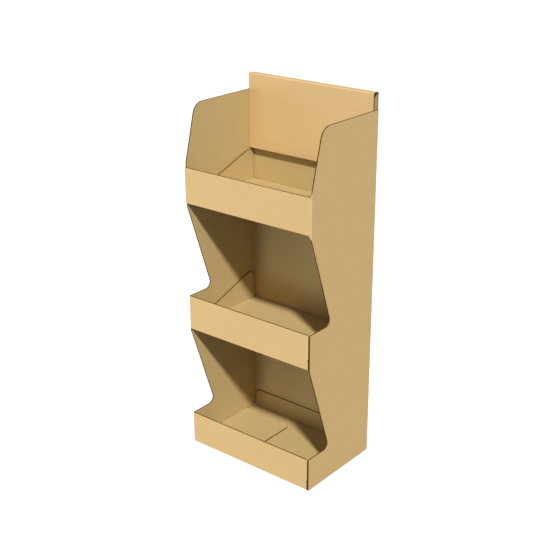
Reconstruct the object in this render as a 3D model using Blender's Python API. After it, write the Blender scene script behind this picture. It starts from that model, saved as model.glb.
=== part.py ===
"""Cardboard display stand with three tiers, folded from corrugated board.

Metres, +Z up. The origin is on the floor below the middle of the stand, the open front
faces -Y, and the header stands at the back. Every sheet is drawn as its middle surface,
flat panels joined by round folds, and then given the thickness of the board.
"""

import math

import bmesh
import bpy

# Board
BOARD = 0.0045  # thickness of the corrugated board
FOLD_RADIUS = 0.0005  # inside of every fold
GAP = 0.0003  # between two layers that lie on each other
RELIEF = 0.002  # small cut beside the end of a fold
FOLD_STEPS = 4  # flats in a quarter turn
ARC_STEP = math.radians(11.25)  # largest turn between two points of a rounded corner
EDGE_SHARE = 0.49  # most of an edge that one rounded corner takes up
MERGE = 0.000005  # between points of a panel and a fold that are one and the same

# Body: back, two sides and three lips
WIDTH = 0.600
DEPTH = 0.400
BASE_LIP_HEIGHT = 0.136
FIRST_SHELF = 0.5175  # underside of the middle lip
SHELF_PITCH = 0.525
LIP_HEIGHT = 0.1415  # middle and top lip
TOP_RISE = 0.2365  # sides above the top lip
NOTCH_DEPTH = 0.130  # how far each bay is cut back at its lip, before rounding
NOTCH_RADIUS = 0.026
BROW_DEPTH = 0.0615  # how far the sides lean back above the top lip, before rounding
BROW_RADIUS = 0.050
CORNER_DROP = 0.005  # the right side's front corners reach below the lips' lower edges
LIP_CORNER_RUN = 0.007  # top lip's lower edge turns down to that corner over this length

# Tabs of the middle and base lip, tucked in behind the right side
TAB_LENGTH = 0.045
TAB_GAP = 0.0035
TAB_RISE = 0.040  # tab's lower end above the lip's lower edge
TAB_DROP = 0.008  # tab's upper end below the lip's upper edge
TAB_TAPER = 0.012
TAB_RADIUS = 0.008

# Glue tab of the left side, behind the top lip
GLUE_TAB_LENGTH = 0.038
GLUE_TAB_MARGIN = 0.012  # from the lip's upper and lower edges
GLUE_TAB_TAPER = 0.010

# Header: the back carried up, folded forward and hung down in front
HEADER_RISE = 0.064  # above the sides
HEADER_DEPTH = 0.030
HEADER_EDGE = 0.001  # its lower edge above the top lip's upper edge

# Base: floor folded from the base lip, its end turned up at the back, one side flap on it
UPSTAND_HEIGHT = 0.084
UPSTAND_RADIUS = 0.028
UPSTAND_END = 0.003  # from each side
BASE_FLAP_LENGTH = 0.243
BASE_FLAP_BACK = 0.060  # its back edge in front of the stand's back
BASE_FLAP_RADIUS = 0.030

# Shelves: floor with four flaps
SHELF_RISE = 0.005  # underside of the floor above the lip's lower edge
SIDE_FLAP_TOE = 0.003  # height of a side flap at its front end
SIDE_FLAP_RISE = 0.0045  # its back corner above the lip's upper edge, before rounding
SIDE_FLAP_RADIUS = 0.030
FRONT_FLAP_CLEARANCE = 0.010  # beside the glue tab
FRONT_FLAP_DROP = 0.030  # below the lip's upper edge
BACK_FLAP_HEIGHT = 0.060
BACK_FLAP_INSET = 0.030
FLAP_RADIUS = 0.012

KRAFT = (0.60, 0.42, 0.21, 1.0)
SHELF_KRAFT = (0.57, 0.40, 0.20, 1.0)
KRAFT_ROUGHNESS = 0.85

X, Y, Z = range(3)  # numbers of the axes
HALF_BOARD = BOARD / 2
LAYER = BOARD + GAP  # from one layer to the next
BEND = HALF_BOARD + FOLD_RADIUS  # radius of a fold in the middle surface
SETBACK = HALF_BOARD + BEND  # from an outer corner to where the flat panel starts

# Middle surfaces of the body's panels
LEFT = -WIDTH / 2 + HALF_BOARD
RIGHT = WIDTH / 2 - HALF_BOARD
FRONT = -DEPTH / 2 + HALF_BOARD
BACK = DEPTH / 2 - HALF_BOARD
FRONT_FACE = -DEPTH / 2

MIDDLE_LIP_TOP = FIRST_SHELF + LIP_HEIGHT
TOP_LIP_BOTTOM = FIRST_SHELF + SHELF_PITCH
TOP_LIP_TOP = TOP_LIP_BOTTOM + LIP_HEIGHT
SIDE_TOP = TOP_LIP_TOP + TOP_RISE
HEADER_TOP = SIDE_TOP + HEADER_RISE - HALF_BOARD
BEHIND_LIP = FRONT + LAYER  # middle of a flap that lies behind a lip
BEFORE_BACK = BACK - LAYER  # middle of a flap that lies on the back's inner face


def rounded(corners):
    """Outline through corners given as (u, v) or (u, v, radius), with round corners."""
    outline = []
    count = len(corners)
    for i, corner in enumerate(corners):
        u, v = corner[:2]
        if len(corner) == 2:
            outline.append((u, v))
            continue
        before, after = corners[i - 1], corners[(i + 1) % count]
        to_before = (before[0] - u, before[1] - v)
        to_after = (after[0] - u, after[1] - v)
        reach_before, reach_after = math.hypot(*to_before), math.hypot(*to_after)
        to_before = (to_before[0] / reach_before, to_before[1] / reach_before)
        to_after = (to_after[0] / reach_after, to_after[1] / reach_after)
        cosine = to_before[0] * to_after[0] + to_before[1] * to_after[1]
        half = math.acos(max(-1.0, min(1.0, cosine))) / 2
        tangent = min(corner[2] / math.tan(half), EDGE_SHARE * reach_before, EDGE_SHARE * reach_after)
        radius = tangent * math.tan(half)
        bisector = (to_before[0] + to_after[0], to_before[1] + to_after[1])
        scale = radius / math.sin(half) / math.hypot(*bisector)
        centre = (u + bisector[0] * scale, v + bisector[1] * scale)
        start = (u + to_before[0] * tangent - centre[0], v + to_before[1] * tangent - centre[1])
        end = (u + to_after[0] * tangent - centre[0], v + to_after[1] * tangent - centre[1])
        turn = math.atan2(start[0] * end[1] - start[1] * end[0], start[0] * end[0] + start[1] * end[1])
        steps = max(2, math.ceil(abs(turn) / ARC_STEP))
        for k in range(steps + 1):
            c, s = math.cos(turn * k / steps), math.sin(turn * k / steps)
            outline.append((centre[0] + start[0] * c - start[1] * s,
                            centre[1] + start[0] * s + start[1] * c))
    return outline


def panel(sheet, axis, level, outline):
    """Flat panel at right angles to axis, from an outline in the two other coordinates."""
    points = [list(point) for point in outline]
    for point in points:
        point.insert(axis, level)
    sheet.faces.new([sheet.verts.new(point) for point in points])


def fold(sheet, first, second, toward, low, high):
    """Quarter turn between two panels, each given as (axis, level).

    toward says which way the first and the second panel lie from their common corner.
    low and high are the fold's ends, each at the first panel's edge and at the second's.
    """
    along = 3 - first[0] - second[0]
    rows = []
    for step in range(FOLD_STEPS + 1):
        share = step / FOLD_STEPS
        row = []
        for end in (low, high):
            point = [0.0, 0.0, 0.0]
            point[first[0]] = first[1] + toward[1] * BEND * (1 - math.cos(share * math.pi / 2))
            point[second[0]] = second[1] + toward[0] * BEND * (1 - math.sin(share * math.pi / 2))
            point[along] = end[0] + (end[1] - end[0]) * share
            row.append(sheet.verts.new(point))
        rows.append(row)
    for before, after in zip(rows, rows[1:]):
        sheet.faces.new((before[0], before[1], after[1], after[0]))


def bay_edge(y, low, high):
    """Height of the slanted front edge of a bay, between its lip below and the lip above."""
    return high - (y - FRONT_FACE) * (high - low) / NOTCH_DEPTH


def brow_edge(y):
    """Height of the slanted front edge above the top lip."""
    return TOP_LIP_TOP + (y - FRONT_FACE) * TOP_RISE / BROW_DEPTH


def glue_tab_span():
    """Lower and upper end of the left side's tab behind the top lip."""
    return TOP_LIP_BOTTOM + GLUE_TAB_MARGIN, TOP_LIP_TOP - GLUE_TAB_MARGIN


def base_flap_span():
    """Front and back end of the left side's flap on the base floor."""
    return FRONT + BEND + RELIEF, DEPTH / 2 - BASE_FLAP_BACK


def add_sides(sheet):
    """Left and right side, each in one piece from the floor to the header."""
    lip_fold = FRONT + BEND
    glue_fold = BEHIND_LIP + BEND
    back_fold = BACK - BEND
    notch = FRONT_FACE + NOTCH_DEPTH
    brow = FRONT_FACE + BROW_DEPTH

    panel(sheet, X, RIGHT, rounded([
        (FRONT_FACE, 0.0),
        (FRONT_FACE, BASE_LIP_HEIGHT),
        (notch, BASE_LIP_HEIGHT, NOTCH_RADIUS),
        (FRONT_FACE, FIRST_SHELF - CORNER_DROP),
        (FRONT_FACE, MIDDLE_LIP_TOP),
        (notch, MIDDLE_LIP_TOP, NOTCH_RADIUS),
        (lip_fold, bay_edge(lip_fold, MIDDLE_LIP_TOP, TOP_LIP_BOTTOM - CORNER_DROP)),
        (lip_fold, brow_edge(lip_fold)),
        (brow, SIDE_TOP, BROW_RADIUS),
        (back_fold, SIDE_TOP),
        (back_fold, 0.0),
    ]))

    flap_fold = LAYER + SETBACK
    flap_start, flap_end = base_flap_span()
    behind_lip_face = BEHIND_LIP - HALF_BOARD
    glue_low, glue_high = glue_tab_span()
    panel(sheet, X, LEFT, rounded([
        (lip_fold, flap_fold),
        (lip_fold, BASE_LIP_HEIGHT),
        (notch, BASE_LIP_HEIGHT, NOTCH_RADIUS),
        (lip_fold, bay_edge(lip_fold, BASE_LIP_HEIGHT, FIRST_SHELF)),
        (lip_fold, MIDDLE_LIP_TOP),
        (notch, MIDDLE_LIP_TOP, NOTCH_RADIUS),
        (behind_lip_face, bay_edge(behind_lip_face, MIDDLE_LIP_TOP, TOP_LIP_BOTTOM)),
        (behind_lip_face, glue_low - RELIEF),
        (glue_fold, glue_low - RELIEF),
        (glue_fold, glue_low),
        (glue_fold, glue_high),
        (glue_fold, glue_high + RELIEF),
        (behind_lip_face, glue_high + RELIEF),
        (behind_lip_face, brow_edge(behind_lip_face)),
        (brow, SIDE_TOP, BROW_RADIUS),
        (back_fold, SIDE_TOP),
        (back_fold, LAYER),
        (flap_end + RELIEF, LAYER),
        (flap_end + RELIEF, flap_fold),
        (flap_end, flap_fold),
        (flap_start, flap_fold),
    ]))


def add_back_and_header(sheet):
    """Back panel, folds to both sides, and the header that it turns into above them."""
    left_fold, right_fold = LEFT + BEND, RIGHT - BEND
    header_fold = HEADER_TOP - BEND
    header_front = DEPTH / 2 - HEADER_DEPTH + HALF_BOARD
    header_bottom = TOP_LIP_TOP + HEADER_EDGE
    panel(sheet, Y, BACK, [
        (left_fold, 0.0),
        (right_fold, 0.0),
        (right_fold, SIDE_TOP),
        (right_fold, header_fold),
        (left_fold, header_fold),
        (left_fold, SIDE_TOP),
    ])
    fold(sheet, (Y, BACK), (X, RIGHT), (-1, -1), (0.0, 0.0), (SIDE_TOP, SIDE_TOP))
    fold(sheet, (Y, BACK), (X, LEFT), (1, -1), (0.0, LAYER), (SIDE_TOP, SIDE_TOP))

    span = (left_fold, left_fold), (right_fold, right_fold)
    fold(sheet, (Y, BACK), (Z, HEADER_TOP), (-1, -1), *span)
    panel(sheet, Z, HEADER_TOP, [
        (left_fold, header_front + BEND),
        (right_fold, header_front + BEND),
        (right_fold, BACK - BEND),
        (left_fold, BACK - BEND),
    ])
    fold(sheet, (Z, HEADER_TOP), (Y, header_front), (1, -1), *span)
    panel(sheet, Y, header_front, [
        (left_fold, header_bottom),
        (right_fold, header_bottom),
        (right_fold, header_fold),
        (left_fold, header_fold),
    ])


def add_top_lip(sheet):
    """Top lip, folded from the right side and glued to the left side's tab."""
    fold_x = RIGHT - BEND
    lip_fold = FRONT + BEND
    corner, side_low = [bay_edge(y, MIDDLE_LIP_TOP, TOP_LIP_BOTTOM - CORNER_DROP)
                        for y in (lip_fold - BEND * math.pi / 2, lip_fold)]
    panel(sheet, Y, FRONT, [
        (-WIDTH / 2, TOP_LIP_BOTTOM),
        (fold_x - LIP_CORNER_RUN, TOP_LIP_BOTTOM),
        (fold_x, corner),
        (fold_x, TOP_LIP_TOP),
        (-WIDTH / 2, TOP_LIP_TOP),
    ])
    fold(sheet, (Y, FRONT), (X, RIGHT), (-1, 1),
         (corner, side_low), (TOP_LIP_TOP, brow_edge(lip_fold)))

    low, high = glue_tab_span()
    tip = -WIDTH / 2 + GLUE_TAB_LENGTH
    fold(sheet, (X, LEFT), (Y, BEHIND_LIP), (1, 1), (low, low), (high, high))
    panel(sheet, Y, BEHIND_LIP, rounded([
        (LEFT + BEND, low),
        (tip, low + GLUE_TAB_TAPER, TAB_RADIUS),
        (tip, high - GLUE_TAB_TAPER, TAB_RADIUS),
        (LEFT + BEND, high),
    ]))


def add_tucked_lip(sheet, bottom, top, lower_left, left_low):
    """Lip folded from the left side, with a tab tucked in behind the right side.

    lower_left are the points of the lower edge, from the left fold to the free right end.
    """
    tab = WIDTH / 2 - BOARD - TAB_GAP - HALF_BOARD
    end = tab + HALF_BOARD
    tab_low, tab_high = bottom + TAB_RISE, top - TAB_DROP
    panel(sheet, Y, FRONT, [
        *lower_left,
        (end, tab_low - RELIEF),
        (tab - BEND, tab_low - RELIEF),
        (tab - BEND, tab_low),
        (tab - BEND, top),
        (LEFT + BEND, top),
    ])
    fold(sheet, (Y, FRONT), (X, LEFT), (1, 1), (lower_left[0][1], left_low), (top, top))
    fold(sheet, (Y, FRONT), (X, tab), (-1, 1), (tab_low, tab_low), (top, tab_high))
    tip = FRONT + BEND + TAB_LENGTH
    panel(sheet, X, tab, rounded([
        (FRONT + BEND, tab_low),
        (tip, tab_low + TAB_TAPER, TAB_RADIUS),
        (tip, tab_high - TAB_TAPER, TAB_RADIUS),
        (FRONT + BEND, tab_high),
    ]))


def add_middle_lip(sheet):
    add_tucked_lip(sheet, FIRST_SHELF, MIDDLE_LIP_TOP, [
        (LEFT + BEND, FIRST_SHELF),
        (WIDTH / 2 - BOARD - TAB_GAP, FIRST_SHELF),
    ], bay_edge(FRONT + BEND, BASE_LIP_HEIGHT, FIRST_SHELF))


def add_base(sheet):
    """Base lip, floor panel, upstand on the back, and the left side's flap on the floor."""
    floor = HALF_BOARD
    floor_left = LEFT + BEND + RELIEF
    floor_right = WIDTH / 2 - BOARD - TAB_GAP
    add_tucked_lip(sheet, 0.0, BASE_LIP_HEIGHT, [
        (LEFT + BEND, SETBACK),
        (floor_left, SETBACK),
        (floor_right, SETBACK),
    ], LAYER + SETBACK)

    front_fold, back_fold = FRONT + BEND, BEFORE_BACK - BEND
    upstand_left = -WIDTH / 2 + BOARD + UPSTAND_END
    upstand_right = WIDTH / 2 - BOARD - UPSTAND_END
    outer_left, outer_right = -WIDTH / 2, WIDTH / 2 - LAYER
    fold(sheet, (Y, FRONT), (Z, floor), (1, 1), (floor_left, floor_left), (floor_right, floor_right))
    panel(sheet, Z, floor, [
        (floor_left, front_fold),
        (floor_right, front_fold),
        (floor_right, front_fold + RELIEF),
        (outer_right, front_fold + RELIEF),
        (outer_right, back_fold),
        (upstand_right, back_fold),
        (upstand_left, back_fold),
        (outer_left, back_fold),
        (outer_left, front_fold + RELIEF),
        (floor_left, front_fold + RELIEF),
    ])
    fold(sheet, (Z, floor), (Y, BEFORE_BACK), (-1, 1),
         (upstand_left, upstand_left), (upstand_right, upstand_right))
    panel(sheet, Y, BEFORE_BACK, rounded([
        (upstand_left, SETBACK),
        (upstand_right, SETBACK),
        (upstand_right, UPSTAND_HEIGHT, UPSTAND_RADIUS),
        (upstand_left, UPSTAND_HEIGHT, UPSTAND_RADIUS),
    ]))

    start, end = base_flap_span()
    flap = LAYER + HALF_BOARD
    tip = -WIDTH / 2 + BASE_FLAP_LENGTH
    fold(sheet, (X, LEFT), (Z, flap), (1, 1), (start, start), (end, end))
    panel(sheet, Z, flap, rounded([
        (LEFT + BEND, start),
        (tip, start, FLAP_RADIUS),
        (tip, end, BASE_FLAP_RADIUS),
        (LEFT + BEND, end),
    ]))


def add_shelf(sheet, lip_bottom):
    """Shelf: floor, tapered side flaps, front flap behind the lip, back flap turned down."""
    lip_top = lip_bottom + LIP_HEIGHT
    floor = lip_bottom + SHELF_RISE + HALF_BOARD
    side = WIDTH / 2 - BOARD - GAP - HALF_BOARD
    side_fold = side - BEND
    front_fold, back_fold = BEHIND_LIP + BEND, BEFORE_BACK - BEND
    side_start, side_end = front_fold + RELIEF, back_fold - RELIEF
    half_front = WIDTH / 2 - GLUE_TAB_LENGTH - FRONT_FLAP_CLEARANCE
    half_back = side_fold - BACK_FLAP_INSET
    panel(sheet, Z, floor, [
        (-half_front, front_fold),
        (half_front, front_fold),
        (side_fold, front_fold),
        (side_fold, side_start),
        (side_fold, side_end),
        (side_fold, back_fold),
        (half_back, back_fold),
        (-half_back, back_fold),
        (-side_fold, back_fold),
        (-side_fold, side_end),
        (-side_fold, side_start),
        (-side_fold, front_fold),
    ])
    for level, inward in ((-side, 1), (side, -1)):
        fold(sheet, (Z, floor), (X, level), (inward, 1), (side_start, side_start), (side_end, side_end))
        panel(sheet, X, level, rounded([
            (side_start, floor + BEND),
            (side_end, floor + BEND),
            (side_end, lip_top + SIDE_FLAP_RISE, SIDE_FLAP_RADIUS),
            (side_start, floor + BEND + SIDE_FLAP_TOE),
        ]))

    front_top = lip_top - FRONT_FLAP_DROP
    fold(sheet, (Z, floor), (Y, BEHIND_LIP), (1, 1), (-half_front, -half_front), (half_front, half_front))
    panel(sheet, Y, BEHIND_LIP, rounded([
        (-half_front, floor + BEND),
        (half_front, floor + BEND),
        (half_front, front_top, FLAP_RADIUS),
        (-half_front, front_top, FLAP_RADIUS),
    ]))
    back_bottom = floor + HALF_BOARD - BACK_FLAP_HEIGHT
    fold(sheet, (Z, floor), (Y, BEFORE_BACK), (-1, -1), (-half_back, -half_back), (half_back, half_back))
    panel(sheet, Y, BEFORE_BACK, rounded([
        (-half_back, floor - BEND),
        (half_back, floor - BEND),
        (half_back, back_bottom, FLAP_RADIUS),
        (-half_back, back_bottom, FLAP_RADIUS),
    ]))


def kraft_material(name, colour):
    material = bpy.data.materials.new(name)
    material.use_nodes = True
    shader = material.node_tree.nodes["Principled BSDF"]
    shader.inputs["Base Color"].default_value = colour
    shader.inputs["Roughness"].default_value = KRAFT_ROUGHNESS
    shader.inputs["Metallic"].default_value = 0.0
    return material


def finish_sheet(name, sheet, material):
    """Joins the panels to their folds and gives the middle surface the board's thickness."""
    bmesh.ops.remove_doubles(sheet, verts=sheet.verts, dist=MERGE)
    bmesh.ops.recalc_face_normals(sheet, faces=sheet.faces)
    mesh = bpy.data.meshes.new(name)
    sheet.to_mesh(mesh)
    sheet.free()
    mesh.materials.append(material)
    board = bpy.data.objects.new(name, mesh)
    bpy.context.scene.collection.objects.link(board)
    solidify = board.modifiers.new("board", "SOLIDIFY")
    solidify.thickness = BOARD
    solidify.offset = 0.0
    solidify.use_even_offset = True
    solidify.use_quality_normals = True


for old in list(bpy.data.objects):
    bpy.data.objects.remove(old)

body = bmesh.new()
add_sides(body)
add_back_and_header(body)
add_top_lip(body)
add_middle_lip(body)
add_base(body)
finish_sheet("body", body, kraft_material("body_kraft", KRAFT))

for shelf_name, shelf_bottom in (("middle_shelf", FIRST_SHELF), ("top_shelf", TOP_LIP_BOTTOM)):
    shelf = bmesh.new()
    add_shelf(shelf, shelf_bottom)
    finish_sheet(shelf_name, shelf, kraft_material(shelf_name + "_kraft", SHELF_KRAFT))
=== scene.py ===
"""Cardboard display stand: a folded body of brown corrugated board with two folded shelves.

Metres, +Z up, and the open front faces -Y. Each sheet is drawn panel by panel on the middle
of its board, and then gets its two paper liners and the fluting between them.
"""

import math

import bmesh
import bpy
from mathutils import Matrix, Vector


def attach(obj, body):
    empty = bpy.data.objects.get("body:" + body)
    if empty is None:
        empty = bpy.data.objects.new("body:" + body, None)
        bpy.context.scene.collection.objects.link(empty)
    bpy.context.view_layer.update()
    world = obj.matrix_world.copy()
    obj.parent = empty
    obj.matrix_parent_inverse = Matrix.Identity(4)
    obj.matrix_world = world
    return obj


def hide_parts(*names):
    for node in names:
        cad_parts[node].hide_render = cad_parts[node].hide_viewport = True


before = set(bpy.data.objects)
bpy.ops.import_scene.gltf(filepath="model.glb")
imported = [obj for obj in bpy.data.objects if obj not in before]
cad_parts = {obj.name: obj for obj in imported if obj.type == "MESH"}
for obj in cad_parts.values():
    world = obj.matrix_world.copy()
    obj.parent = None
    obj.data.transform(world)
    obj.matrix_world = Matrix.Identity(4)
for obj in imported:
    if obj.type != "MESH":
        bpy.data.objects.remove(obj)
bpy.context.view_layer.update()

# Sides. Two walls of single-wall corrugated board with upright flutes, cut in one sheet with
# the back. The die cuts their front edge back in two slanted bays with round inner corners,
# and lets it lean back above the top lip.
X, Y, Z = range(3)
BOARD = 0.0045
LAYER = BOARD + 0.0003  # from one board to the next that lies on it
BEND = BOARD / 2 + 0.0005  # radius of a fold, on the middle of the board
SETBACK = BOARD / 2 + BEND  # from a corner's outer face to where its fold ends
RELIEF = 0.002  # small cut at the end of a fold
WIDTH = 0.600
DEPTH = 0.400
LEFT, RIGHT = (BOARD - WIDTH) / 2, (WIDTH - BOARD) / 2
FRONT, BACK = (BOARD - DEPTH) / 2, (DEPTH - BOARD) / 2
LIP_FOLD = FRONT + BEND
BEHIND_LIP = FRONT + LAYER
BASE_LIP_TOP = 0.136
MIDDLE_LIP = 0.5175, 0.659
TOP_LIP = 1.0425, 1.184
SIDE_TOP = 1.4205
NOTCH = 0.130  # how far a bay is cut back at its foot
NOTCH_RADIUS = 0.026
BROW = 0.0615  # how far the top leans back
BROW_RADIUS = 0.050
CORNER_DROP = 0.005  # the right side's front corners reach below the lips
GLUE_TAB_INSET = 0.012  # from the top lip's two edges
GLUE_TAB = TOP_LIP[0] + GLUE_TAB_INSET, TOP_LIP[1] - GLUE_TAB_INSET
BASE_FLAP_STOP = 0.060  # short of the back
BASE_FLAP = LIP_FOLD + RELIEF, DEPTH / 2 - BASE_FLAP_STOP
ROUND_LIMIT = 0.49  # share of an edge that the round at one end may take


def new_sheet():
    """An empty sheet that knows, for each face, its fluting and whether it is bent.

    bend is 0 on a flat face, 1 on a bent one, and 2 where the bend is darkened with painted
    shade.
    """
    sheet = bmesh.new()
    for note in ("across", "run", "bend"):
        sheet.faces.layers.int.new(note)
    return sheet


def note_face(sheet, face, facing, run, bend):
    """Notes on a face the axes across and along its flutes, and how it is bent."""
    notes = sheet.faces.layers.int
    face[notes["across"]] = 3 - facing - run
    face[notes["run"]] = run
    face[notes["bend"]] = bend
    face.smooth = bool(bend)


def panel(sheet, facing, level, run, corners):
    """Flat panel at right angles to the axis facing, its flutes along the axis run.

    corners are (u, v) in the two other axes, or (u, v, radius) where the die rounds them.
    """
    verts = []
    for corner in corners:
        place = list(corner[:2])
        place.insert(facing, level)
        verts.append(sheet.verts.new(place))
    note_face(sheet, sheet.faces.new(verts), facing, run, 0)
    rounds = []
    for i, corner in enumerate(corners):
        if len(corner) == 3:
            to_last = verts[i - 1].co - verts[i].co
            to_next = verts[(i + 1) % len(verts)].co - verts[i].co
            reach = corner[2] / math.tan(to_last.angle(to_next) / 2)
            room = ROUND_LIMIT * min(to_last.length, to_next.length)
            rounds.append((verts[i], min(reach, room)))
    for vert, reach in rounds:
        bmesh.ops.bevel(sheet, geom=[vert], affect="VERTICES", offset=reach,
                        segments=8, profile=0.5, material=-1)


def fold(sheet, run, first, second, toward, low, high, painted_shade=False):
    """Quarter turn from the first panel to the second, each given as (axis, level).

    toward says which way the first and the second panel lie from their common corner. low
    and high are the fold's ends, each at the first panel's edge and at the second's. If the
    last argument is set, the fold's last third is darkened: painted shade of the gap beside it.
    """
    along = 3 - first[0] - second[0]
    hub, start, end = Vector(), Vector(), Vector()
    hub[first[0]] = first[1] + toward[1] * BEND
    hub[second[0]] = second[1] + toward[0] * BEND
    start[first[0]] = -toward[1] * BEND
    end[second[0]] = -toward[0] * BEND
    steps = 6
    turn = Matrix.Rotation(math.pi / 2 / steps, 3, start.cross(end))
    ends = []
    for place in (low[0], high[0]):
        spot = hub + start
        spot[along] = place
        ends.append(sheet.verts.new(spot))
    edge = sheet.edges.new(ends)
    slide = Vector()
    for step in range(steps):
        made = bmesh.ops.extrude_edge_only(sheet, edges=[edge])["geom"]
        ends = [part for part in made if isinstance(part, bmesh.types.BMVert)]
        ends.sort(key=lambda vert: vert.co[along])
        edge = sheet.edges.get(ends)
        bmesh.ops.rotate(sheet, cent=hub, matrix=turn, verts=ends)
        for vert, (at_first, at_second) in zip(ends, (low, high)):
            slide[along] = (at_second - at_first) / steps
            bmesh.ops.translate(sheet, vec=slide, verts=[vert])
        note_face(sheet, edge.link_faces[0], first[0], run,
                  2 if painted_shade and step >= steps * 2 // 3 else 1)


def bay_edge(y, low, high):
    """Height of a bay's slanted edge, from the lip below to the lip above."""
    return high - (y + DEPTH / 2) * (high - low) / NOTCH


def brow_edge(y):
    """Height of the edge that leans back above the top lip."""
    return TOP_LIP[1] + (y + DEPTH / 2) * (SIDE_TOP - TOP_LIP[1]) / BROW


body = new_sheet()
notch = NOTCH - DEPTH / 2
brow = BROW - DEPTH / 2
behind_lip_face = BEHIND_LIP - BOARD / 2
panel(body, X, RIGHT, Z, [
    (-DEPTH / 2, 0.0),
    (-DEPTH / 2, BASE_LIP_TOP),
    (notch, BASE_LIP_TOP, NOTCH_RADIUS),
    (-DEPTH / 2, MIDDLE_LIP[0] - CORNER_DROP),
    (-DEPTH / 2, MIDDLE_LIP[1]),
    (notch, MIDDLE_LIP[1], NOTCH_RADIUS),
    (LIP_FOLD, bay_edge(LIP_FOLD, MIDDLE_LIP[1], TOP_LIP[0] - CORNER_DROP)),
    (LIP_FOLD, brow_edge(LIP_FOLD)),
    (brow, SIDE_TOP, BROW_RADIUS),
    (BACK - BEND, SIDE_TOP),
    (BACK - BEND, 0.0),
])
panel(body, X, LEFT, Z, [
    (LIP_FOLD, LAYER + SETBACK),
    (LIP_FOLD, BASE_LIP_TOP),
    (notch, BASE_LIP_TOP, NOTCH_RADIUS),
    (LIP_FOLD, bay_edge(LIP_FOLD, BASE_LIP_TOP, MIDDLE_LIP[0])),
    (LIP_FOLD, MIDDLE_LIP[1]),
    (notch, MIDDLE_LIP[1], NOTCH_RADIUS),
    (behind_lip_face, bay_edge(behind_lip_face, MIDDLE_LIP[1], TOP_LIP[0])),
    (behind_lip_face, GLUE_TAB[0] - RELIEF),
    (BEHIND_LIP + BEND, GLUE_TAB[0] - RELIEF),
    (BEHIND_LIP + BEND, GLUE_TAB[0]),
    (BEHIND_LIP + BEND, GLUE_TAB[1]),
    (BEHIND_LIP + BEND, GLUE_TAB[1] + RELIEF),
    (behind_lip_face, GLUE_TAB[1] + RELIEF),
    (behind_lip_face, brow_edge(behind_lip_face)),
    (brow, SIDE_TOP, BROW_RADIUS),
    (BACK - BEND, SIDE_TOP),
    (BACK - BEND, LAYER),
    (BASE_FLAP[1] + RELIEF, LAYER),
    (BASE_FLAP[1] + RELIEF, LAYER + SETBACK),
    (BASE_FLAP[1], LAYER + SETBACK),
    (BASE_FLAP[0], LAYER + SETBACK),
])

# Back and header. The back is one wall between the sides. Above them it carries on, turns
# forward over a narrow top and hangs down in front as a double wall, open at its ends.
HEIGHT = 1.4845
HEADER_DEPTH = 0.030
HEADER_TOP = HEIGHT - BOARD / 2
HEADER_FRONT = DEPTH / 2 - HEADER_DEPTH + BOARD / 2
HEADER_BOTTOM = TOP_LIP[1] + 0.001  # just above the height of the top lip
back_left, back_right = LEFT + BEND, RIGHT - BEND
header_fold = HEADER_TOP - BEND
panel(body, Y, BACK, Z, [
    (back_left, 0.0),
    (back_right, 0.0),
    (back_right, SIDE_TOP),
    (back_right, header_fold),
    (back_left, header_fold),
    (back_left, SIDE_TOP),
])
fold(body, Z, (Y, BACK), (X, RIGHT), (-1, -1), (0.0, 0.0), (SIDE_TOP, SIDE_TOP))
fold(body, Z, (Y, BACK), (X, LEFT), (1, -1), (0.0, LAYER), (SIDE_TOP, SIDE_TOP))
header_span = (back_left, back_left), (back_right, back_right)
fold(body, Z, (Y, BACK), (Z, HEADER_TOP), (-1, -1), *header_span)
panel(body, Z, HEADER_TOP, Y, [
    (back_left, HEADER_FRONT + BEND),
    (back_right, HEADER_FRONT + BEND),
    (back_right, BACK - BEND),
    (back_left, BACK - BEND),
])
fold(body, Y, (Z, HEADER_TOP), (Y, HEADER_FRONT), (1, -1), *header_span)
panel(body, Y, HEADER_FRONT, Z, [
    (back_left, HEADER_BOTTOM),
    (back_right, HEADER_BOTTOM),
    (back_right, header_fold),
    (back_left, header_fold),
])

# Top lip. It folds from the right side, runs across the front and is glued at its left end
# to a tapered tab of the left side. This joint closes the body. Below the fold the bay's
# slanted edge carries on to the lip's lower edge.
LIP_CORNER_RUN = 0.007  # over which the lip's lower edge turns down to the fold
GLUE_TAB_REACH = 0.038
GLUE_TAB_TAPER = 0.010
TAB_RADIUS = 0.008
lip_right = RIGHT - BEND
corner, below_fold = [bay_edge(y, MIDDLE_LIP[1], TOP_LIP[0] - CORNER_DROP)
                      for y in (LIP_FOLD - BEND * math.pi / 2, LIP_FOLD)]
panel(body, Y, FRONT, Z, [
    (-WIDTH / 2, TOP_LIP[0]),
    (lip_right - LIP_CORNER_RUN, TOP_LIP[0]),
    (lip_right, corner),
    (lip_right, TOP_LIP[1]),
    (-WIDTH / 2, TOP_LIP[1]),
])
fold(body, Z, (Y, FRONT), (X, RIGHT), (-1, 1),
     (corner, below_fold), (TOP_LIP[1], brow_edge(LIP_FOLD)))
glue_tip = GLUE_TAB_REACH - WIDTH / 2
fold(body, Z, (X, LEFT), (Y, BEHIND_LIP), (1, 1), (GLUE_TAB[0],) * 2, (GLUE_TAB[1],) * 2)
panel(body, Y, BEHIND_LIP, Z, [
    (LEFT + BEND, GLUE_TAB[0]),
    (glue_tip, GLUE_TAB[0] + GLUE_TAB_TAPER, TAB_RADIUS),
    (glue_tip, GLUE_TAB[1] - GLUE_TAB_TAPER, TAB_RADIUS),
    (LEFT + BEND, GLUE_TAB[1]),
])
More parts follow.
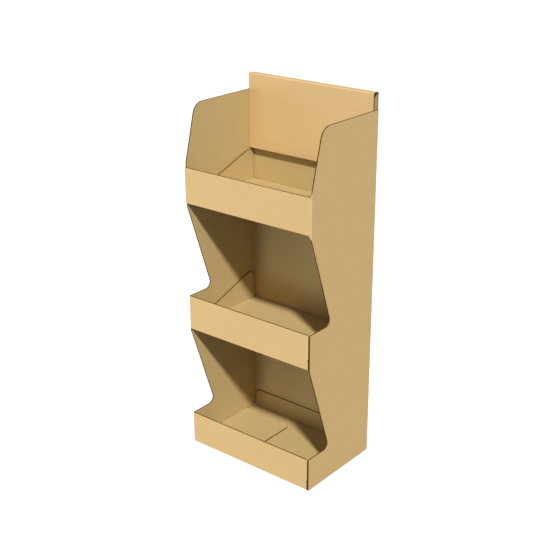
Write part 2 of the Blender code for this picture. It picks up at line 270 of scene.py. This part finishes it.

# Middle and base lip. Both fold from the left side. At the right each ends just short of
# the right side's cut edge and turns back into a tab that is tucked in behind that side. Where
# the tab turns in, its fold is darkened as painted shade of the narrow gap beside that edge.
TAB_GAP = 0.0035  # between the tab and the right side
TAB_RISE = 0.040  # of the fold's lower end above the lip's lower edge
TAB_DROP = 0.008  # of the tab's upper edge below the lip's
TAB_REACH = 0.045
TAB_TAPER = 0.012
tab = WIDTH / 2 - BOARD - TAB_GAP - BOARD / 2
lip_end = tab + BOARD / 2


def tucked_lip(sheet, bottom, top, lower_edge, left_low):
    """Lip with its tab; lower_edge runs from the left fold to the free right end."""
    tab_low, tab_high = bottom + TAB_RISE, top - TAB_DROP
    panel(sheet, Y, FRONT, Z, [
        *lower_edge,
        (lip_end, tab_low - RELIEF),
        (tab - BEND, tab_low - RELIEF),
        (tab - BEND, tab_low),
        (tab - BEND, top),
        (LEFT + BEND, top),
    ])
    fold(sheet, Z, (Y, FRONT), (X, LEFT), (1, 1), (lower_edge[0][1], left_low), (top, top))
    # The tab's fold is darkened over its last third: painted shade of the gap behind the side's
    # edge.
    fold(sheet, Z, (Y, FRONT), (X, tab), (-1, 1), (tab_low, tab_low), (top, tab_high),
         painted_shade=True)
    panel(sheet, X, tab, Z, [
        (LIP_FOLD, tab_low),
        (LIP_FOLD + TAB_REACH, tab_low + TAB_TAPER, TAB_RADIUS),
        (LIP_FOLD + TAB_REACH, tab_high - TAB_TAPER, TAB_RADIUS),
        (LIP_FOLD, tab_high),
    ])


tucked_lip(body, MIDDLE_LIP[0], MIDDLE_LIP[1], [
    (LEFT + BEND, MIDDLE_LIP[0]),
    (lip_end, MIDDLE_LIP[0]),
], bay_edge(LIP_FOLD, BASE_LIP_TOP, MIDDLE_LIP[0]))
floor_left = LEFT + BEND + RELIEF
tucked_lip(body, 0.0, BASE_LIP_TOP, [
    (LEFT + BEND, SETBACK),
    (floor_left, SETBACK),
    (lip_end, SETBACK),
], LAYER + SETBACK)

# Base floor. It folds back from the base lip, lies on the ground under the left side, and
# turns up against the back, with round corners. The left side's own flap is folded in and
# lies loose on top of it.
BASE_FLAP_TIP = 0.243  # from the left side's outer face
BASE_FLAP_RADII = 0.012, 0.030  # of its front and its back corner
UPSTAND_TOP = 0.084
UPSTAND_RADIUS = 0.028
UPSTAND_GAP = 0.003  # to each side
BEFORE_BACK = BACK - LAYER
floor = BOARD / 2
floor_right = WIDTH / 2 - LAYER
upstand = WIDTH / 2 - BOARD - UPSTAND_GAP
floor_back = BEFORE_BACK - BEND
fold(body, Z, (Y, FRONT), (Z, floor), (1, 1), (floor_left,) * 2, (lip_end,) * 2)
panel(body, Z, floor, Y, [
    (floor_left, LIP_FOLD),
    (lip_end, LIP_FOLD),
    (lip_end, LIP_FOLD + RELIEF),
    (floor_right, LIP_FOLD + RELIEF),
    (floor_right, floor_back),
    (upstand, floor_back),
    (-upstand, floor_back),
    (-WIDTH / 2, floor_back),
    (-WIDTH / 2, LIP_FOLD + RELIEF),
    (floor_left, LIP_FOLD + RELIEF),
])
fold(body, Y, (Z, floor), (Y, BEFORE_BACK), (-1, 1), (-upstand,) * 2, (upstand,) * 2)
panel(body, Y, BEFORE_BACK, Z, [
    (-upstand, SETBACK),
    (upstand, SETBACK),
    (upstand, UPSTAND_TOP, UPSTAND_RADIUS),
    (-upstand, UPSTAND_TOP, UPSTAND_RADIUS),
])
flap_tip = BASE_FLAP_TIP - WIDTH / 2
fold(body, Z, (X, LEFT), (Z, floor + LAYER), (1, 1), (BASE_FLAP[0],) * 2, (BASE_FLAP[1],) * 2)
panel(body, Z, floor + LAYER, X, [
    (LEFT + BEND, BASE_FLAP[0]),
    (flap_tip, BASE_FLAP[0], BASE_FLAP_RADII[0]),
    (flap_tip, BASE_FLAP[1], BASE_FLAP_RADII[1]),
    (LEFT + BEND, BASE_FLAP[1]),
])

# The body's board. Two liners of smooth brown kraft paper are glued to the crests of a
# waved medium of darker recycled paper, about 8 mm from crest to crest. At the cut edges
# the die has crushed the liners a little, and the raw core shows between them. The core's
# dark brown and the dark strip along the cut edges are partly their own tone and partly
# painted shade of the open flutes.
LINER = 0.0004
MEDIUM = 0.00025
CRUSHED_AND_SHADED_STRIP = 0.0012  # width of the darkened strip along a cut edge
FLUTE = 0.008
WAVE_STEPS = 8  # flats in one wave
CREST = BOARD / 2 - LINER - MEDIUM / 2
CORE_INSET = 0.0001  # the fluting ends just inside its panel


def link(tree, output, target, socket):
    tree.links.new(output, target.inputs[socket])


def kraft_paper(name, pale, deep, roughness):
    """Kraft liner: fibres across the flutes, clouds of tone, faint darker flecks along the
    flutes and ribs over them, and dark cut edges, partly crushed liner and partly painted
    shade of the open flutes, and painted shade on the tucked tabs' folds.
    """
    material = bpy.data.materials.new(name)
    material.use_nodes = True
    tree = material.node_tree
    shader = tree.nodes["Principled BSDF"]
    shader.inputs["Roughness"].default_value = roughness
    shader.inputs["Specular IOR Level"].default_value = 0.25
    grain = tree.nodes.new("ShaderNodeUVMap")
    grain.uv_map = "grain"
    place = tree.nodes.new("ShaderNodeTexCoord")

    stretch = tree.nodes.new("ShaderNodeMapping")
    stretch.inputs["Scale"].default_value = (90.0, 420.0, 1.0)
    link(tree, grain.outputs["UV"], stretch, "Vector")
    fibres = tree.nodes.new("ShaderNodeTexNoise")
    fibres.inputs["Scale"].default_value = 1.0
    fibres.inputs["Detail"].default_value = 4.0
    fibres.inputs["Roughness"].default_value = 0.7
    link(tree, stretch.outputs["Vector"], fibres, "Vector")
    clouds = tree.nodes.new("ShaderNodeTexNoise")
    clouds.inputs["Scale"].default_value = 17.0
    clouds.inputs["Detail"].default_value = 4.0
    clouds.inputs["Roughness"].default_value = 0.55
    link(tree, place.outputs["Object"], clouds, "Vector")

    tone = tree.nodes.new("ShaderNodeMix")
    tone.inputs["Factor"].default_value = 0.45
    link(tree, clouds.outputs["Fac"], tone, "A")
    link(tree, fibres.outputs["Fac"], tone, "B")
    shade = tree.nodes.new("ShaderNodeValToRGB")
    shade.color_ramp.elements[0].position = 0.30
    shade.color_ramp.elements[0].color = (*deep, 1.0)
    shade.color_ramp.elements[1].position = 0.70
    shade.color_ramp.elements[1].color = (*pale, 1.0)
    link(tree, tone.outputs["Result"], shade, "Fac")

    spacing = tree.nodes.new("ShaderNodeMapping")
    spacing.inputs["Scale"].default_value = (240.0, 65.0, 1.0)
    link(tree, grain.outputs["UV"], spacing, "Vector")
    flecks = tree.nodes.new("ShaderNodeTexNoise")
    flecks.inputs["Scale"].default_value = 1.0
    flecks.inputs["Detail"].default_value = 2.0
    link(tree, spacing.outputs["Vector"], flecks, "Vector")
    marks = tree.nodes.new("ShaderNodeValToRGB")
    marks.color_ramp.elements[0].position = 0.60
    marks.color_ramp.elements[0].color = (1.0, 1.0, 1.0, 1.0)
    marks.color_ramp.elements[1].position = 0.72
    marks.color_ramp.elements[1].color = (0.92, 0.905, 0.87, 1.0)
    link(tree, flecks.outputs["Fac"], marks, "Fac")
    marked = tree.nodes.new("ShaderNodeMix")
    marked.data_type = "RGBA"
    marked.blend_type = "MULTIPLY"
    marked.inputs["Factor"].default_value = 1.0
    link(tree, shade.outputs["Color"], marked, "A")
    link(tree, marks.outputs["Color"], marked, "B")

    worn_and_shaded = tree.nodes.new("ShaderNodeAttribute")
    worn_and_shaded.attribute_name = "wear_and_shade"
    uneven = tree.nodes.new("ShaderNodeMath")
    uneven.operation = "MULTIPLY"
    link(tree, worn_and_shaded.outputs["Fac"], uneven, 0)
    link(tree, fibres.outputs["Fac"], uneven, 1)
    scuffed_and_shaded = tree.nodes.new("ShaderNodeValToRGB")
    scuffed_and_shaded.color_ramp.elements[0].position = 0.05
    scuffed_and_shaded.color_ramp.elements[1].position = 0.25
    link(tree, uneven.outputs[0], scuffed_and_shaded, "Fac")
    # A dark brown is mixed in where the edge mark is set: on the cut edges partly crushed liner
    # and partly painted shade of the open flutes, on the tucked tabs' folds painted shade.
    edge = tree.nodes.new("ShaderNodeMix")
    edge.data_type = "RGBA"
    edge.inputs["B"].default_value = (0.16, 0.08, 0.006, 1.0)
    link(tree, scuffed_and_shaded.outputs["Color"], edge, "Factor")
    link(tree, marked.outputs["Result"], edge, "A")
    link(tree, edge.outputs["Result"], shader, "Base Color")

    split = tree.nodes.new("ShaderNodeSeparateXYZ")
    link(tree, grain.outputs["UV"], split, "Vector")
    phase = tree.nodes.new("ShaderNodeMath")
    phase.operation = "MULTIPLY"
    phase.inputs[1].default_value = 2 * math.pi / FLUTE
    link(tree, split.outputs["X"], phase, 0)
    ribs = tree.nodes.new("ShaderNodeMath")
    ribs.operation = "COSINE"
    link(tree, phase.outputs[0], ribs, 0)
    relief = tree.nodes.new("ShaderNodeMath")
    relief.operation = "MULTIPLY_ADD"
    relief.inputs[1].default_value = 0.35
    link(tree, ribs.outputs[0], relief, 0)
    link(tree, fibres.outputs["Fac"], relief, 2)
    bump = tree.nodes.new("ShaderNodeBump")
    bump.inputs["Distance"].default_value = 0.00008
    link(tree, relief.outputs[0], bump, "Height")
    link(tree, bump.outputs["Normal"], shader, "Normal")
    return material


def raw_core(name, pale, deep):
    """The board's waved medium and the raw insides of its liners."""
    material = bpy.data.materials.new(name)
    material.use_nodes = True
    tree = material.node_tree
    shader = tree.nodes["Principled BSDF"]
    shader.inputs["Roughness"].default_value = 0.95
    shader.inputs["Specular IOR Level"].default_value = 0.1
    place = tree.nodes.new("ShaderNodeTexCoord")
    fuzz = tree.nodes.new("ShaderNodeTexNoise")
    fuzz.inputs["Scale"].default_value = 260.0
    fuzz.inputs["Detail"].default_value = 3.0
    link(tree, place.outputs["Object"], fuzz, "Vector")
    # The medium's dark brown is partly its own tone and partly painted shade of the open
    # flutes.
    shade = tree.nodes.new("ShaderNodeValToRGB")
    shade.color_ramp.elements[0].position = 0.35
    shade.color_ramp.elements[0].color = (*deep, 1.0)
    shade.color_ramp.elements[1].position = 0.65
    shade.color_ramp.elements[1].color = (*pale, 1.0)
    link(tree, fuzz.outputs["Fac"], shade, "Fac")
    link(tree, shade.outputs["Color"], shader, "Base Color")
    return material


def join_panels(sheet):
    """Joins panels and folds into one sheet that faces outward."""
    bmesh.ops.remove_doubles(sheet, verts=sheet.verts, dist=0.000005)
    bmesh.ops.recalc_face_normals(sheet, faces=sheet.faces)
    if max(sheet.faces, key=lambda face: face.calc_center_median().x).normal.x < 0:
        bmesh.ops.reverse_faces(sheet, faces=sheet.faces)


def scuff_and_shade_edges(sheet):
    """Adds the narrow strip along the cut edges in which the die has crushed the liners."""
    bmesh.ops.inset_region(sheet, faces=sheet.faces, thickness=CRUSHED_AND_SHADED_STRIP,
                           use_boundary=True, use_even_offset=True)
    bend = sheet.faces.layers.int["bend"]
    for edge in sheet.edges:
        bent = [face for face in edge.link_faces if face[bend]]
        if bent and edge.verts[0].is_boundary != edge.verts[1].is_boundary:
            inner, outer = sorted(edge.verts, key=lambda vert: vert.is_boundary)
            along = min((X, Y, Z), key=lambda axis: abs(bent[0].normal[axis]))
            place = outer.co.copy()
            place[along] = inner.co[along]
            inner.co = place
    relief_cuts = [edge for edge in sheet.edges
                   if edge.is_boundary and abs(edge.calc_length() - RELIEF) < 0.00001]
    clean = {vert for edge in relief_cuts for vert in edge.verts}
    # The edge mark takes in the cut edges, whose dark strip is partly crushed liner and partly
    # painted shade of the open flutes, and the tabs' folds darkened with painted shade. Relief
    # cuts are left out.
    wear_and_shade = sheet.verts.layers.float.new("wear_and_shade")
    for vert in sheet.verts:
        bends = [face[bend] for face in vert.link_faces]
        painted_shade = min(bends) > 0 and max(bends) == 2
        vert[wear_and_shade] = float(painted_shade or vert.is_boundary and vert not in clean)


def lay_grain(sheet):
    """Lays a grain map on the sheet: x across the flutes, y along them."""
    grain = sheet.loops.layers.uv.new("grain")
    notes = sheet.faces.layers.int
    for face in sheet.faces:
        across, run = face[notes["across"]], face[notes["run"]]
        for loop in face.loops:
            loop[grain].uv = loop.vert.co[across], loop.vert.co[run]


def wave_panels(core):
    """Turns each flat panel into waves: cut across the flutes, then bent crest by crest."""
    notes = core.faces.layers.int
    bmesh.ops.split_edges(core, edges=core.edges)
    for face in [face for face in core.faces if not face[notes["bend"]]]:
        across = face[notes["across"]]
        knife = Vector()
        knife[across] = 1.0
        reach = [vert.co[across] for vert in face.verts]
        middle = (min(reach) + max(reach)) / 2
        for vert in face.verts:
            vert.co[across] -= math.copysign(CORE_INSET, vert.co[across] - middle)
        step = FLUTE / WAVE_STEPS
        ahead = [face]
        for cut in range(math.floor(min(reach) / step) + 1, math.ceil(max(reach) / step)):
            geom = {part for face in ahead for part in (face, *face.edges, *face.verts)}
            made = bmesh.ops.bisect_plane(core, geom=list(geom), dist=0.000001,
                                          plane_co=knife * cut * step, plane_no=knife)["geom"]
            ahead = [part for part in made if isinstance(part, bmesh.types.BMFace)
                     and part.calc_center_median()[across] > cut * step]
    for vert in core.verts:
        face = vert.link_faces[0]
        if not face[notes["bend"]]:
            across, run = face[notes["across"]], face[notes["run"]]
            vert.co[3 - across - run] += CREST * math.cos(2 * math.pi * vert.co[across] / FLUTE)
    for face in core.faces:
        face.smooth = True


def make_board(name, sheet, outer, inner, core):
    """The sheet's two liners and its fluting, as two pieces in place of the solid node."""
    fluting = sheet.copy()
    wave_panels(fluting)
    scuff_and_shade_edges(sheet)
    lay_grain(sheet)
    for part, shape, papers in ((name + "_liners", sheet, (outer, inner, core)),
                                (name + "_fluting", fluting, (core,))):
        mesh = bpy.data.meshes.new(part)
        shape.to_mesh(mesh)
        shape.free()
        for material in papers:
            mesh.materials.append(material)
        piece = bpy.data.objects.new(part, mesh)
        bpy.context.scene.collection.objects.link(piece)
        if shape is sheet:
            faces = piece.modifiers.new("faces of the board", "SOLIDIFY")
            faces.thickness = BOARD
            faces.offset = 0.0
            faces.use_rim = False
            faces.use_even_offset = True
            faces.use_quality_normals = True
            faces.material_offset = 1
        paper = piece.modifiers.new("paper", "SOLIDIFY")
        paper.thickness = LINER if shape is sheet else MEDIUM
        paper.offset = -1.0 if shape is sheet else 0.0
        paper.use_even_offset = True
        paper.use_quality_normals = True
        paper.material_offset = paper.material_offset_rim = len(papers) - 1
        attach(piece, "root")
        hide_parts(name)


join_panels(body)
# The outer liner is lighter than the inner one: partly their own tones, partly painted light on
# the lit outside and painted shade inside the bays.
make_board("body", body,
           kraft_paper("outer_kraft", (0.630, 0.437, 0.201), (0.600, 0.412, 0.188), 0.70),
           kraft_paper("inner_kraft", (0.516, 0.386, 0.178), (0.486, 0.362, 0.166), 0.76),
           raw_core("body_core", (0.15, 0.066, 0.004), (0.09, 0.038, 0.002)))

# Shelves. Each is a tray folded from its own sheet, its flutes running from side to side:
# tapered flaps glued to the sides, a front flap behind the lip, and a back flap turned down.
DECK_RISE = 0.005  # underside of the shelf above the lip's lower edge
SIDE_FLAP_TOE = 0.003  # height of the front end
SIDE_FLAP_RISE = 0.0045  # back corner above the lip's upper edge, before it is rounded
SIDE_FLAP_RADIUS = 0.030
FRONT_FLAP_GAP = 0.010  # to the glue tab
FRONT_FLAP_DROP = 0.030  # below the lip's upper edge
BACK_FLAP_REACH = 0.060  # below the shelf's upper face
BACK_FLAP_INSET = 0.030
FLAP_RADIUS = 0.012
SHELF_SIDE = WIDTH / 2 - BOARD - LAYER + BOARD / 2
shelf_fold = SHELF_SIDE - BEND
shelf_front, shelf_back = BEHIND_LIP + BEND, BEFORE_BACK - BEND
flap_front, flap_back = shelf_front + RELIEF, shelf_back - RELIEF
half_front = WIDTH / 2 - GLUE_TAB_REACH - FRONT_FLAP_GAP
half_back = shelf_fold - BACK_FLAP_INSET
# The shelves' kraft is darker than the outer liner, partly its own tone and partly painted
# shade inside the bays. Their core's dark brown is partly painted shade of the open flutes.
shelf_kraft = kraft_paper("shelf_kraft", (0.521, 0.386, 0.178), (0.490, 0.361, 0.166), 0.74)
shelf_core = raw_core("shelf_core", (0.15, 0.066, 0.004), (0.09, 0.038, 0.002))
for name, (lip_bottom, lip_top) in (("middle_shelf", MIDDLE_LIP), ("top_shelf", TOP_LIP)):
    shelf = new_sheet()
    deck = lip_bottom + DECK_RISE + BOARD / 2
    panel(shelf, Z, deck, X, [
        (-half_front, shelf_front),
        (half_front, shelf_front),
        (shelf_fold, shelf_front),
        (shelf_fold, flap_front),
        (shelf_fold, flap_back),
        (shelf_fold, shelf_back),
        (half_back, shelf_back),
        (-half_back, shelf_back),
        (-shelf_fold, shelf_back),
        (-shelf_fold, flap_back),
        (-shelf_fold, flap_front),
        (-shelf_fold, shelf_front),
    ])
    for level, inward in ((-SHELF_SIDE, 1), (SHELF_SIDE, -1)):
        fold(shelf, X, (Z, deck), (X, level), (inward, 1), (flap_front,) * 2, (flap_back,) * 2)
        panel(shelf, X, level, Z, [
            (flap_front, deck + BEND),
            (flap_back, deck + BEND),
            (flap_back, lip_top + SIDE_FLAP_RISE, SIDE_FLAP_RADIUS),
            (flap_front, deck + BEND + SIDE_FLAP_TOE),
        ])
    fold(shelf, X, (Z, deck), (Y, BEHIND_LIP), (1, 1), (-half_front,) * 2, (half_front,) * 2)
    panel(shelf, Y, BEHIND_LIP, X, [
        (-half_front, deck + BEND),
        (half_front, deck + BEND),
        (half_front, lip_top - FRONT_FLAP_DROP, FLAP_RADIUS),
        (-half_front, lip_top - FRONT_FLAP_DROP, FLAP_RADIUS),
    ])
    fold(shelf, X, (Z, deck), (Y, BEFORE_BACK), (-1, -1), (-half_back,) * 2, (half_back,) * 2)
    panel(shelf, Y, BEFORE_BACK, X, [
        (-half_back, deck - BEND),
        (half_back, deck - BEND),
        (half_back, deck + BOARD / 2 - BACK_FLAP_REACH, FLAP_RADIUS),
        (-half_back, deck + BOARD / 2 - BACK_FLAP_REACH, FLAP_RADIUS),
    ])
    join_panels(shelf)
    make_board(name, shelf, shelf_kraft, shelf_kraft, shelf_core)

# Ground. A plain white studio floor under the stand, just below its underside. The camera
# sees it as white, and the stand's soft shadow stays on it.
ground_shape = bmesh.new()
bmesh.ops.create_circle(ground_shape, cap_ends=True, segments=64, radius=40.0)
bmesh.ops.translate(ground_shape, vec=(0.0, 0.0, -0.0004), verts=ground_shape.verts)
ground_mesh = bpy.data.meshes.new("ground")
ground_shape.to_mesh(ground_mesh)
ground_shape.free()
ground = bpy.data.objects.new("ground", ground_mesh)
bpy.context.scene.collection.objects.link(ground)
white_floor = bpy.data.materials.new("white_floor")
white_floor.use_nodes = True
floor_tree = white_floor.node_tree
floor_tree.nodes.remove(floor_tree.nodes["Principled BSDF"])
seen = floor_tree.nodes.new("ShaderNodeLightPath")
glow = floor_tree.nodes.new("ShaderNodeEmission")
glow.inputs["Strength"].default_value = 0.92
paint = floor_tree.nodes.new("ShaderNodeBsdfDiffuse")
paint.inputs["Color"].default_value = (0.25, 0.25, 0.25, 1.0)
lit = floor_tree.nodes.new("ShaderNodeAddShader")
pick = floor_tree.nodes.new("ShaderNodeMixShader")
link(floor_tree, glow.outputs[0], lit, 0)
link(floor_tree, paint.outputs[0], lit, 1)
link(floor_tree, seen.outputs["Is Camera Ray"], pick, 0)
link(floor_tree, paint.outputs[0], pick, 1)
link(floor_tree, lit.outputs[0], pick, 2)
link(floor_tree, pick.outputs[0], floor_tree.nodes["Material Output"], "Surface")
ground_mesh.materials.append(white_floor)

# Light. A soft key lamp stands to the right of the camera and above it, as in the picture,
# with two fills, from the front and from the left, and an even pale surround.
key_light = bpy.data.lights.new("key", "SUN")
key_light.energy = 3.92
key_light.color = (1.0, 0.975, 0.92)
key_light.angle = math.radians(3.5)
key = bpy.data.objects.new("key", key_light)
key.rotation_euler = Vector((-0.99, 1.0, -1.4)).to_track_quat("-Z", "Y").to_euler()
bpy.context.scene.collection.objects.link(key)
for name, place, size, watts in (("front", (-1.0, -4.5, 1.0), 1.2, 33.0),
                                 ("left", (-3.5, -3.5, 1.0), 2.0, 37.0)):
    fill_light = bpy.data.lights.new(name, "AREA")
    fill_light.shape = "DISK"
    fill_light.size = size
    fill_light.energy = watts
    fill = bpy.data.objects.new(name, fill_light)
    fill.location = place
    aim = Vector((0.0, 0.0, 0.75)) - fill.location
    fill.rotation_euler = aim.to_track_quat("-Z", "Y").to_euler()
    bpy.context.scene.collection.objects.link(fill)

world = bpy.data.worlds.new("white_surround")
world.use_nodes = True
bpy.context.scene.world = world
air = world.node_tree
surround = air.nodes["Background"]
surround.inputs["Color"].default_value = (0.86, 0.93, 1.0, 1.0)
surround.inputs["Strength"].default_value = 0.36
backdrop = air.nodes.new("ShaderNodeBackground")
backdrop.inputs["Color"].default_value = (1.0, 1.0, 1.0, 1.0)
backdrop.inputs["Strength"].default_value = 1.0
looked_at = air.nodes.new("ShaderNodeLightPath")
choice = air.nodes.new("ShaderNodeMixShader")
link(air, looked_at.outputs["Is Camera Ray"], choice, 0)
link(air, surround.outputs[0], choice, 1)
link(air, backdrop.outputs[0], choice, 2)
link(air, choice.outputs[0], air.nodes["World Output"], "Surface")

# Camera. It stands to the right of the front, higher than the header, and looks down on the
# whole stand through a short telephoto lens.
camera_lens = bpy.data.cameras.new("camera")
camera_lens.lens = 68.644
camera_lens.sensor_width = 36.0
camera = bpy.data.objects.new("camera", camera_lens)
camera.location = (2.4122, -2.9942, 2.3178)
aim = Vector((-0.0008, 0.0, 0.7387)) - camera.location
camera.rotation_euler = aim.to_track_quat("-Z", "Y").to_euler()
bpy.context.scene.collection.objects.link(camera)
bpy.context.scene.camera = camera
bpy.context.scene.view_settings.view_transform = "Standard"
